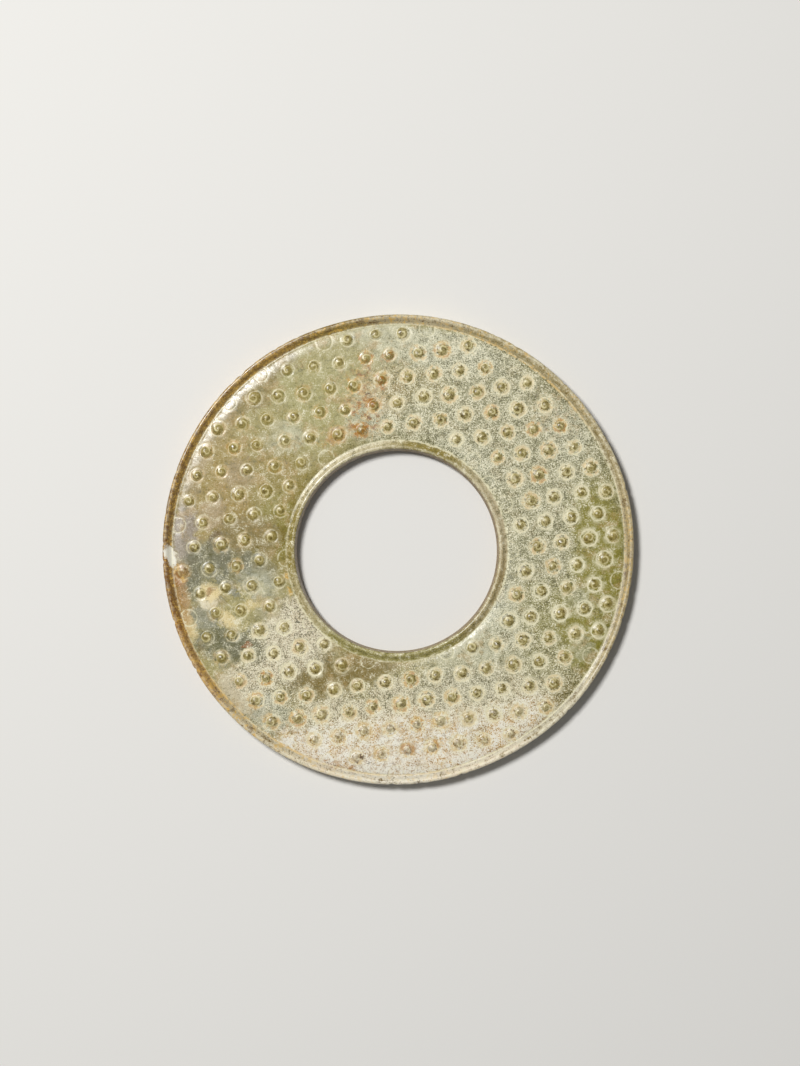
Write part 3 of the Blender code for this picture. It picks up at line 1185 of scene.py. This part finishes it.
RIM_STAINS = (
    Stone.BROWN.stain(-40, 34, 32, 36, 0, 0.95),
    Stone.OLIVE_BROWN.stain(-13, 53, 13, 8, 15, 0.7),
    Stone.BONE.stain(5, 55, 14, 6, 0, 0.5),
    Stone.BONE.stain(38, -40, 15, 14, 0, 0.85),
    Stone.PEACH.stain(4, -55, 44, 14, 0, 0.9),
    Stone.WHITE.stain(-3, -53, 13, 5, 0, 0.6),
    Stone.CREAM.stain(-36, -43, 18, 12, -40, 0.6),
    Stone.OCHRE.stain(-49, -24, 7, 14, 25, 0.8),
    Stone.RUST.stain(-54, -9, 6, 12, 12, 0.9),
    Stone.UMBER.stain(-54, 11, 6, 13, -12, 0.8),
    Stone.UMBER.stain(-54, -10, 4, 8, 12, 0.6),
)

RIM_MARKS = (
    Stone.WHITE.stain(-53.2, -1.7, 2.9, 1.2, -67, 0.95, 0.35),
    Stone.DARK_BROWN.stain(-38.8, -37.4, 0.9, 0.5, 45, 0.6),
    Stone.UMBER.stain(-34.5, -41.8, 0.9, 0.45, -60, 0.85),
    Stone.DARK_BROWN.stain(-10.0, -49.7, 0.35, 0.3, 0, 0.9),
    Stone.DARK_BROWN.stain(-7.1, -49.7, 0.3, 0.25, 0, 0.9),
    Stone.DARK_BROWN.stain(-8.5, -48.5, 0.55, 0.45, 0, 0.9, 0.3),
)

RUST_DABS = (
    Patch(-2.4, 45.0, 1.9, 1.1, 30),
    Patch(-7.4, 43.3, 1.0, 1.4, 20, 0.6),
    Patch(-3.6, 38.8, 1.3, 1.9, 15),
    Patch(-6.7, 34.8, 1.6, 1.9, 0),
    Patch(-9.3, 33.6, 0.7, 1.0, 0),
    Patch(-10.1, 31.6, 0.7, 0.7, 0),
    Patch(-8.8, 28.0, 2.6, 2.0, 0, 0.7),
    Patch(-15.4, -50.4, 2.6, 0.9, -12),
    Patch(-10.7, -51.3, 1.6, 0.8, -10),
    Patch(2.5, -46.5, 2.2, 1.6, 15, 0.5),
)

BORE_STAINS = (
    Stone.CLEAR_GREEN.stain(-4, -25, 26, 9, -6, 0.7),
    Stone.TAN.stain(26, -4, 12, 30, 0, 0.85),
    Stone.OCHRE.stain(25, 4, 9, 16, 0, 0.2),
    Stone.CREAM.stain(22, 12, 10, 16, 0, 0.4),
    Stone.CREAM.stain(-14, 22, 16, 10, 35, 0.6),
    Stone.CREAM.stain(-22, -13, 7, 8, 30, 0.3),
)

WEATHERED = (
    Patch(24, 25, 33, 31, 20, 1.0),
    Patch(36, -8, 16, 34, 0, 0.9),
    Patch(10, -41, 44, 15, 5, 1.0),
    Patch(-27, -28, 13, 11, -35, 1.0),
    Patch(-21, -17, 8, 6, -40, 0.9),
)

CLEAR = (
    Patch(47.2, -1, 6.5, 17, 3, 0.9),
    Patch(44.5, -22, 6, 13, 28, 0.9),
    Patch(-12.5, -28.6, 12.5, 5, 16, 0.95),
    Patch(36, -17, 5, 4, 20, 0.5),
    Patch(-38.5, -22.5, 5, 4, -20, 0.8),
)

CREAMY = (
    Patch(-2, -47, 42, 8.5, 4, 1.0),
    Patch(25, -42, 13, 6, 30, 0.85),
)

RUSTED = (
    Patch(-8, 34, 4.5, 9, 5, 1.0),
    Patch(-15, 26, 4, 3, 20, 0.8),
    Patch(-7, -50, 15, 3, 0, 0.7),
    Patch(8, -43, 16, 5, 10, 0.6),
    Patch(33, -42, 8, 3, 38, 0.5),
    Patch(36, 31, 7, 6, -40, 0.5),
    Patch(-24, -44, 9, 3, -30, 0.7),
)

# The polished band inside the upper-left rim: its roughness is lowered, and a painted sheen of white is laid
# on its colour.
POLISH_AND_SHEEN = Patch(-41, 35, 29, 12, 50, 1.0, 0.7)

MARBLED = (
    Patch(-39, -7, 12, 7, -8, 0.9),
    Patch(-40, -18, 9, 9, -20, 0.9),
)

IRON_LINES = (
    Patch(25, 46, 26, 9, -38, 0.8),
    Patch(-32, -42, 20, 7, -38, 0.8),
    Patch(2, -54, 20, 4, 0, 0.45),
)

VEINS = (
    (Stone.BLUE_GREY, -2.6, -0.8),
    (Stone.BOTTLE_GREEN, -1.1, 0.2),
    (Stone.YELLOW_GREEN, -0.4, 1.0),
    (Stone.CREAM, 0.9, 2.8),
)


class Guides:
    """What the finish is laid out by: places in millimetres, each grain's traits, and chance variation.

    A variation is fractal noise about 0 with a spread of about 1.
    """

    def __init__(self, s: Shader, shape: RingShape) -> None:
        """Read the ring's maps and make the variations.

        Args:
            s: the material's shader.
            shape: the ring's sizes.
        """
        self.shader = s
        place = s.scaled(s.node("ShaderNodeTexCoord", {}, {}, "Object"), 1 / MM)
        self.flat = s.vector("MULTIPLY", place, (1, 1, 0.6))
        half = (0.5, 0.5, 0.5)
        bends = s.vector("SUBTRACT", s.noise(self.flat, 0.16, 2, 0.5, colour=True), half)
        frays = s.vector("SUBTRACT", s.noise(self.flat, 0.7, 5, 0.7, colour=True), half)
        bent = s.vector("ADD", self.flat, s.scaled(bends, 6.0))
        self.ragged = s.vector("ADD", bent, s.scaled(frays, 7.0))
        self.close = s.vector("ADD", self.flat, s.scaled(frays, 3.5))

        self.radius = s.node("ShaderNodeAttribute", {"attribute_name": "true_radius"}, {}, "Fac")
        traits = s.node("ShaderNodeAttribute", {"attribute_name": "grain_traits"}, {}, "Color")
        self.finished = s.node("ShaderNodeAttribute", {"attribute_name": "grain_traits"}, {}, "Alpha")
        self.rust, self.wear, self.tail = s.parts(traits)
        grain = s.node("ShaderNodeUVMap", {"uv_map": "grain"}, {})
        u, v, _ = s.parts(grain)
        self.rho = s.vector("LENGTH", grain, output="Value")
        self.share = (s.node("ShaderNodeMath", {"operation": "ARCTAN2"}, {0: v, 1: u}) / TURN + 1).fraction()

        self.clouds = self._variation(self.flat, 0.33, 7, 0.62, 0.061)
        self.warmth = self._variation(s.vector("ADD", self.flat, (31, 17, 0)), 0.3, 7, 0.66, 0.057)
        self.blotch = self._variation(s.vector("ADD", self.flat, (7, 53, 0)), 0.9, 4, 0.65, 0.058)
        self.mottle = self._variation(self.flat, 1.2, 3, 0.6, 0.06)
        self.wisps = self._variation(s.vector("ADD", self.close, (3, 11, 0)), 0.8, 4, 0.65, 0.058)
        self.fine = self._variation(self.flat, 3.2, 2, 0.8, 0.058)
        self.marble = self._variation(s.vector("ADD", self.close, (3, 11, 0)), 0.36, 7, 0.66, 0.057)
        self.strands = self._variation(s.vector("ADD", self.close, (61, 5, 0)), 0.55, 2, 0.5, 0.078)
        outwards = s.node("ShaderNodeCombineXYZ", {}, {2: self.radius * 2.2})
        outwards = s.vector("ADD", outwards, s.vector("MULTIPLY", place, (0, 0, 0.7)))
        around = s.vector("NORMALIZE", s.vector("MULTIPLY", place, (1, 1, 0)))
        around = s.scaled(s.scaled(around, shape.outer_radius / MM), 0.3)
        self.drift = self._variation(s.vector("ADD", around, outwards), 0.8, 5, 0.68, 0.055)

    def _variation(
        self, place: Signal, scale: float, detail: float, roughness: float, spread: float
    ) -> Signal:
        """Fractal noise about 0, divided by its own spread."""
        return (self.shader.noise(place, scale, detail, roughness) - 0.5) * (1 / spread)


@dataclass(frozen=True)
class JadeFinish:
    """Old nephrite: clear and polished here, weathered to a pale speckled skin there, and stained by iron;
    with painted light as well: a painted sheen along the upper-left border, painted highlights on the rim
    crests and painted shade down the hole's wall.
    """

    shape: RingShape
    curl: Curl
    dome: Dome
    polished_roughness: float = 0.34
    weathered_roughness: float = 0.46
    subsurface: float = 0.08
    subsurface_reach: float = 0.8 * MM
    subsurface_shares: tuple[float, float, float] = (1.0, 0.9, 0.6)
    refraction: float = 1.53
    full_variation: float = 3.2
    cut_line: tuple[float, float] = (0.36, 0.1)
    curl_line: tuple[float, float] = (0.24, 0.06)
    winding_line: tuple[float, float] = (0.32, 0.06)

    @staticmethod
    def _mask(s: Shader, place: Signal, patch: Patch) -> Signal:
        """Where a patch shows, from 0 to its strength."""
        cos, sin = math.cos(math.radians(patch.turn)), math.sin(math.radians(patch.turn))
        offset = s.vector("SUBTRACT", place, (patch.x, patch.y, 0))
        towards_x = (cos / patch.reach_x, sin / patch.reach_x, 0)
        towards_y = (-sin / patch.reach_y, cos / patch.reach_y, 0)
        along = s.vector("DOT_PRODUCT", offset, towards_x, output="Value")
        across = s.vector("DOT_PRODUCT", offset, towards_y, output="Value")
        away = along * along + across * across
        return away.ramp((1 + patch.softness / 2) ** 2, (1 - patch.softness) ** 2, patch.strength)

    def _stained(
        self, s: Shader, ground: "Signal | Tone", place: Signal, stains: tuple[Stain, ...]
    ) -> "Signal | Tone":
        """Lay stains over a ground colour, in order."""
        for stain in stains:
            ground = s.mix(ground, stain.tone, self._mask(s, place, stain.patch))
        return ground

    def _joined(self, s: Shader, place: Signal, patches: tuple[Patch, ...]) -> Signal:
        """Where any of the patches shows."""
        joined = self._mask(s, place, patches[0])
        for patch in patches[1:]:
            joined = joined.most(self._mask(s, place, patch))
        return joined

    def _varied(
        self,
        s: Shader,
        colour: "Signal | Tone",
        chance: Signal,
        shade: "Signal | Tone",
        light: "Signal | Tone",
    ) -> Signal:
        """A colour that goes towards a darker tone where a variation is low, and a lighter one where high."""
        colour = s.mix(colour, shade, chance.ramp(0.0, -self.full_variation))
        return s.mix(colour, light, chance.ramp(0.0, self.full_variation))

    def _ground(self, s: Shader, g: Guides, weathered: Signal) -> Signal:
        """The colour of the field: clear stone with stains and clouds, and weathered skin."""
        colour = self._stained(s, Stone.GREY_OLIVE.value, g.ragged, FIELD_STAINS)
        veined = Stone.SLATE.value
        for vein, start, end in VEINS:
            veined = s.mix(veined, vein.value, g.marble.ramp(start, end))
        marbled = self._joined(s, g.ragged, MARBLED)
        colour = s.mix(colour, veined, marbled)
        colour = s.mix(colour, Stone.WARM.value, g.warmth.ramp(0.0, 2.6) * (0.6 - 0.35 * weathered))
        rusted = self._joined(s, g.ragged, RUSTED)
        colour = s.mix(colour, Stone.ORANGE.value, rusted * (g.wisps + g.blotch * 0.8).ramp(-0.7, 2.2) * 0.6)
        blotched = rusted.ramp(0.55, 1.0) * (g.blotch + g.fine * 0.6).ramp(1.1, 1.5)
        colour = s.mix(colour, Stone.BURNT.value, blotched * 0.8)
        creamy = self._joined(s, g.ragged, CREAMY)
        warmed = creamy * (g.warmth + g.wisps * 0.4).ramp(-0.2, 1.3)
        colour = s.mix(colour, Stone.APRICOT.value, warmed * 0.85)
        colour = s.mix(colour, Stone.WHITE.value, creamy * g.clouds.ramp(0.0, 1.5) * 0.9)
        colour = self._stained(s, colour, g.close, CLOSE_STAINS)
        smooth = g.clouds * 0.38 + g.wisps * 0.38 + g.fine * 0.45
        rough = g.fine * 1.45 + g.mottle * 0.55 + g.wisps * 0.4 + g.clouds * 0.45
        rough = rough * (1 + 0.2 * creamy) + creamy
        chance = smooth + (rough - smooth) * weathered
        shade = s.mix(Stone.SHADE.value, Stone.OCHRE.value, creamy * 0.8)
        light = s.mix(Stone.LIGHT.value, Stone.WHITE.value, creamy * 0.9)
        colour = self._varied(s, colour, chance, shade, light)
        strands = abs(g.strands).ramp(0.26, 0.04) * g.blotch.ramp(-0.8, 1.2)
        colour = s.mix(colour, Stone.LIGHT.value, strands * (0.15 + 0.3 * weathered))
        return s.mix(colour, Stone.RUST_DARK.value, rusted * (g.fine + g.blotch * 0.8).ramp(1.8, 2.3) * 0.85)

    def _rims(self, s: Shader, g: Guides, colour: Signal, bloom: Signal) -> Signal:
        """Lay the rims' colours over the field's, with painted shade down the hole's wall and a painted
        highlight along the crests.
        """
        wall = g.radius.ramp(self.shape.outer_radius / MM - 0.4, self.shape.outer_radius / MM)
        chance = g.drift * 0.45 + g.blotch * 0.55 + g.wisps * 0.45 + g.fine * 0.65
        chance = chance * (1.15 - 0.15 * bloom - 0.5 * wall)
        rim = self._stained(s, Stone.TAN.value, g.ragged, RIM_STAINS)
        light = s.mix(Stone.ORANGE.value, Stone.LIGHT.value, bloom)
        shade = s.mix(Stone.RUST_DARK.value, Stone.OLIVE_BROWN.value, bloom * 0.8)
        rim = self._varied(s, rim, chance, shade, light)
        bore = self._stained(s, Stone.OLIVE_TAN.value, g.ragged, BORE_STAINS)
        bore = self._varied(s, bore, chance * 0.75, Stone.SHADE.value, Stone.LIGHT.value)
        mouth = self.shape.mouth / MM
        # Painted shade: the hole's wall, inside the mouth, is darkened to umber.
        bore = s.mix(bore, Stone.UMBER.value, g.radius.ramp(mouth + 0.12, mouth - 0.1) * 0.75)
        iron = self._joined(s, g.ragged, IRON_LINES) * g.drift.ramp(-2.2, -0.2)
        rim = s.mix(rim, Stone.ORANGE.value, iron * g.blotch.ramp(0.2, 1.6) * 0.8)
        outer, inner = self.shape.outer_line / MM, self.shape.inner_line / MM
        colour = s.mix(colour, rim, g.radius.ramp(outer - 0.1, outer + 0.15))
        colour = s.mix(colour, bore, g.radius.ramp(inner + 0.1, inner - 0.15))
        colour = self._stained(s, colour, g.close, RIM_MARKS)
        dabs = self._joined(s, g.close, RUST_DABS)
        colour = s.mix(colour, Stone.BURNT.value, dabs * (g.fine * 0.6 + g.blotch * 0.6).ramp(-0.5, 0.4))
        colour = s.mix(colour, Stone.DARK_BROWN.value, dabs * (g.fine + g.mottle * 0.5).ramp(0.9, 1.5) * 0.8)
        wander = g.blotch * 0.04
        cut = abs(g.radius - outer + wander).ramp(*self.cut_line)
        cut = cut.most(abs(g.radius - inner + wander).ramp(*self.cut_line))
        shown = cut * (0.35 + 0.45 * bloom).most(iron * 0.95) * g.mottle.ramp(-2.4, 0.0)
        colour = s.mix(colour, s.mix(Stone.LINE.value, Stone.ORANGE.value, iron), shown)
        # Darker all round in the scoop between the outer rim's crest and its incised line.
        scoop = g.radius.ramp(outer + 0.1, outer + 0.35) * g.radius.ramp(outer + 1.2, outer + 0.7)
        colour = s.mix(colour, Stone.SHADE.value, scoop * 0.25)
        # Painted highlight: the outer and inner rims' crests are lightened towards LIGHT, standing for the
        # glint of light on them.
        crest_highlight = abs(g.radius - mouth - 0.35).ramp(0.35, 0.1) * 0.8
        crest_highlight = g.radius.ramp(outer + 0.8, outer + 1.6).most(crest_highlight)
        return s.mix(colour, Stone.LIGHT.value, crest_highlight * (0.2 + 0.25 * bloom) * g.mottle.ramp(-1.6, 1.4))

    def _grains(self, s: Shader, g: Guides, colour: Signal, bloom: Signal, weathered: Signal) -> Signal:
        """Lay the domes' and curls' own colours over the field's."""
        curl = self.curl
        edge = self.dome.radius / MM
        fuzzy = g.rho + g.fine * 0.04 + g.mottle * (0.03 + weathered * 0.04)
        halo = fuzzy.ramp(edge - 0.25, edge + 0.15) * fuzzy.ramp(edge + 1.7, edge + 0.35)
        patchy = (g.blotch + g.wisps).ramp(-2.4, 1.2)
        halo = (halo * patchy * 0.8).most(abs(fuzzy - edge - 0.45).ramp(0.26, 0.07)) * g.finished
        colour = s.mix(colour, Stone.HALO.value, halo * (0.12 + bloom * 0.85) * (1 - 0.4 * g.wear))

        first = curl.eye / MM + curl.first_turn / MM * g.share**curl.first_bend
        second = (curl.eye + curl.first_turn) / MM + curl.second_turn / MM * g.share**curl.second_bend
        winding = abs(g.rho - first).ramp(*self.winding_line) * 3.4 + g.mottle * 0.6
        winding = winding + g.fine * (0.2 + 0.2 * weathered) - 0.85
        dome = s.mix(Stone.DOME.value, Stone.DOME_WORN.value, g.wear)
        dome = self._varied(s, dome, winding, Stone.DOME_SHADE.value, Stone.DOME_LIGHT.value)
        on_dome = fuzzy.ramp(edge + 0.05, edge - 0.25) * g.finished
        colour = s.mix(colour, dome, on_dome * (0.82 - 0.35 * g.wear))

        ring_line = abs(g.rho - second + g.wisps * 0.04).ramp(*self.curl_line)
        ring_line = ring_line * (g.tail - g.share).ramp(0.0, 0.08)
        marked = abs(g.rho - curl.marked_radius / MM).ramp(*self.curl_line) * (1 - g.finished) * 0.65
        line = (ring_line * g.finished * (0.5 + 0.35 * bloom)).most(marked)
        line = line * (1 - 0.4 * g.wear) * g.mottle.ramp(-3.0, 1.0)
        colour = s.mix(colour, Stone.LINE.value, line)

        rusty = fuzzy.ramp(0.9, 1.4) * fuzzy.ramp(2.3, 1.6)
        rusty = rusty * (g.blotch + g.wisps).ramp(-2.0, 1.6) * g.finished
        iron = s.mix(Stone.ORANGE.value, Stone.BURNT.value, (g.blotch + g.fine * 0.6).ramp(0.9, 1.4) * g.rust)
        colour = s.mix(colour, iron, rusty * (0.06 * weathered + 0.8 * g.rust))
        return s.mix(colour, Stone.RUST_DARK.value, rusty * (g.rust - 0.3) * g.fine.ramp(-1.1, -2.0))

    def make(self) -> bpy.types.Material:
        """Build the material.

        Returns:
            The material.
        """
        s = Shader("jade")
        g = Guides(s, self.shape)
        bloom = self._joined(s, g.ragged, WEATHERED)
        weathered = bloom * (1 - self._joined(s, g.ragged, CLEAR))
        colour = self._ground(s, g, weathered)
        border = self.shape.outer_line / MM
        near_rim = (g.radius + g.wisps * 0.15).ramp(border - 3.0, border - 1.4)
        # Polished band inside the upper-left rim: lower roughness, and a painted sheen (white mixed into the
        # colour) standing for the key light's reflection.
        polish_and_sheen = self._mask(s, g.close, POLISH_AND_SHEEN) * near_rim
        painted_sheen = polish_and_sheen * (g.wisps + g.blotch * 0.5).ramp(-2.6, 1.6)
        colour = s.mix(colour, Stone.WHITE.value, painted_sheen * 0.2)
        colour = self._grains(s, g, colour, bloom, weathered)
        colour = self._rims(s, g, colour, bloom)
        s.feed("Base Color", colour)
        on_dome = g.rho.ramp(self.dome.radius / MM + 0.2, self.dome.radius / MM - 0.2) * g.finished
        matt = weathered * (1 - 0.8 * on_dome)
        roughness = self.polished_roughness + matt * (self.weathered_roughness - self.polished_roughness)
        s.feed("Roughness", roughness + g.mottle * 0.04 - polish_and_sheen * 0.04)
        height = g.fine * 0.006 + g.mottle * 0.004
        reach = (matt * 0.85 + 0.15) * MM
        bump = s.node("ShaderNodeBump", {}, {"Strength": 1.0, "Distance": reach, "Height": height}, "Normal")
        s.feed("Normal", bump)
        s.feed("Subsurface Weight", self.subsurface)
        s.feed("Subsurface Radius", self.subsurface_shares)
        s.feed("Subsurface Scale", self.subsurface_reach)
        s.feed("IOR", self.refraction)
        return s.material


# ---------------------------------------------------------------------------------------------------------
# Studio
# ---------------------------------------------------------------------------------------------------------


@dataclass(frozen=True)
class Studio:
    """A pale floor, one soft key light from the upper left, a weak fill, and a camera straight overhead."""

    floor_size: float = 3.0
    floor_tone: Tone = Tone(226, 224, 219)
    floor_roughness: float = 0.8
    key_direction: float = math.radians(138)
    key_height: float = math.radians(63)
    key_distance: float = 1.1
    key_size: float = 0.24
    key_power: float = 11.6
    fill: float = 0.15
    fill_colour: tuple[float, float, float, float] = (0.95, 0.97, 1.0, 1.0)
    lens: float = 100.0
    film: float = 36.0
    view_height: float = 248.9 * MM
    view_centre: tuple[float, float] = (0.415 * MM, 3.857 * MM)

    def build(self, top: float) -> None:
        """Set the stage.

        Args:
            top: the height of the ring's front face, on which the camera's view is measured.
        """
        self._lay_floor()
        self._hang_lights()
        self._place_camera(top)

    def _lay_floor(self) -> None:
        """Lay the floor under the ring."""
        bpy.ops.object.select_all(action="DESELECT")
        bpy.ops.mesh.primitive_plane_add(size=self.floor_size, location=(0, 0, 0))
        floor = bpy.context.object
        floor.name = "floor"
        s = Shader("floor_paper")
        s.feed("Base Color", self.floor_tone.linear())
        s.feed("Roughness", self.floor_roughness)
        floor.data.materials.append(s.material)
        log.info("floor: %.1f m square", self.floor_size)

    def _hang_lights(self) -> None:
        """Hang the key light, and set the even fill."""
        lamp = bpy.data.lights.new("key", "AREA")
        lamp.shape = "SQUARE"
        lamp.size = self.key_size
        lamp.energy = self.key_power
        key = bpy.data.objects.new("key", lamp)
        bpy.context.scene.collection.objects.link(key)
        level, rise = math.cos(self.key_height), math.sin(self.key_height)
        towards = Vector((level * math.cos(self.key_direction), level * math.sin(self.key_direction), rise))
        key.location = towards * self.key_distance
        key.rotation_euler = towards.to_track_quat("Z", "Y").to_euler()
        world = bpy.data.worlds.new("studio")
        world.use_nodes = True
        background = world.node_tree.nodes["Background"]
        background.inputs["Color"].default_value = self.fill_colour
        background.inputs["Strength"].default_value = self.fill
        bpy.context.scene.world = world

    def _place_camera(self, top: float) -> None:
        """Put the camera straight over the middle of its view."""
        data = bpy.data.cameras.new("camera")
        data.lens = self.lens
        data.sensor_width = self.film
        data.sensor_fit = "AUTO"
        camera = bpy.data.objects.new("camera", data)
        bpy.context.scene.collection.objects.link(camera)
        camera.location = (*self.view_centre, top + self.view_height * self.lens / self.film)
        bpy.context.scene.camera = camera


def main() -> None:
    """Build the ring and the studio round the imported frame."""
    logging.basicConfig(level=logging.INFO, format="%(name)s: %(message)s")
    scene = bpy.context.scene
    scene.view_settings.view_transform = "Standard"
    _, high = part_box(RING_NODE)

    carved = JadeRing()
    ring = carved.build()
    ring.data.materials.append(JadeFinish(carved.shape, carved.curl, carved.dome).make())
    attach(ring, "root")
    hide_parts(RING_NODE)
    log.info("%s: %d vertices, %d faces", ring.name, len(ring.data.vertices), len(ring.data.polygons))

    Studio().build(high.z)


if __name__ == "__main__":
    main()
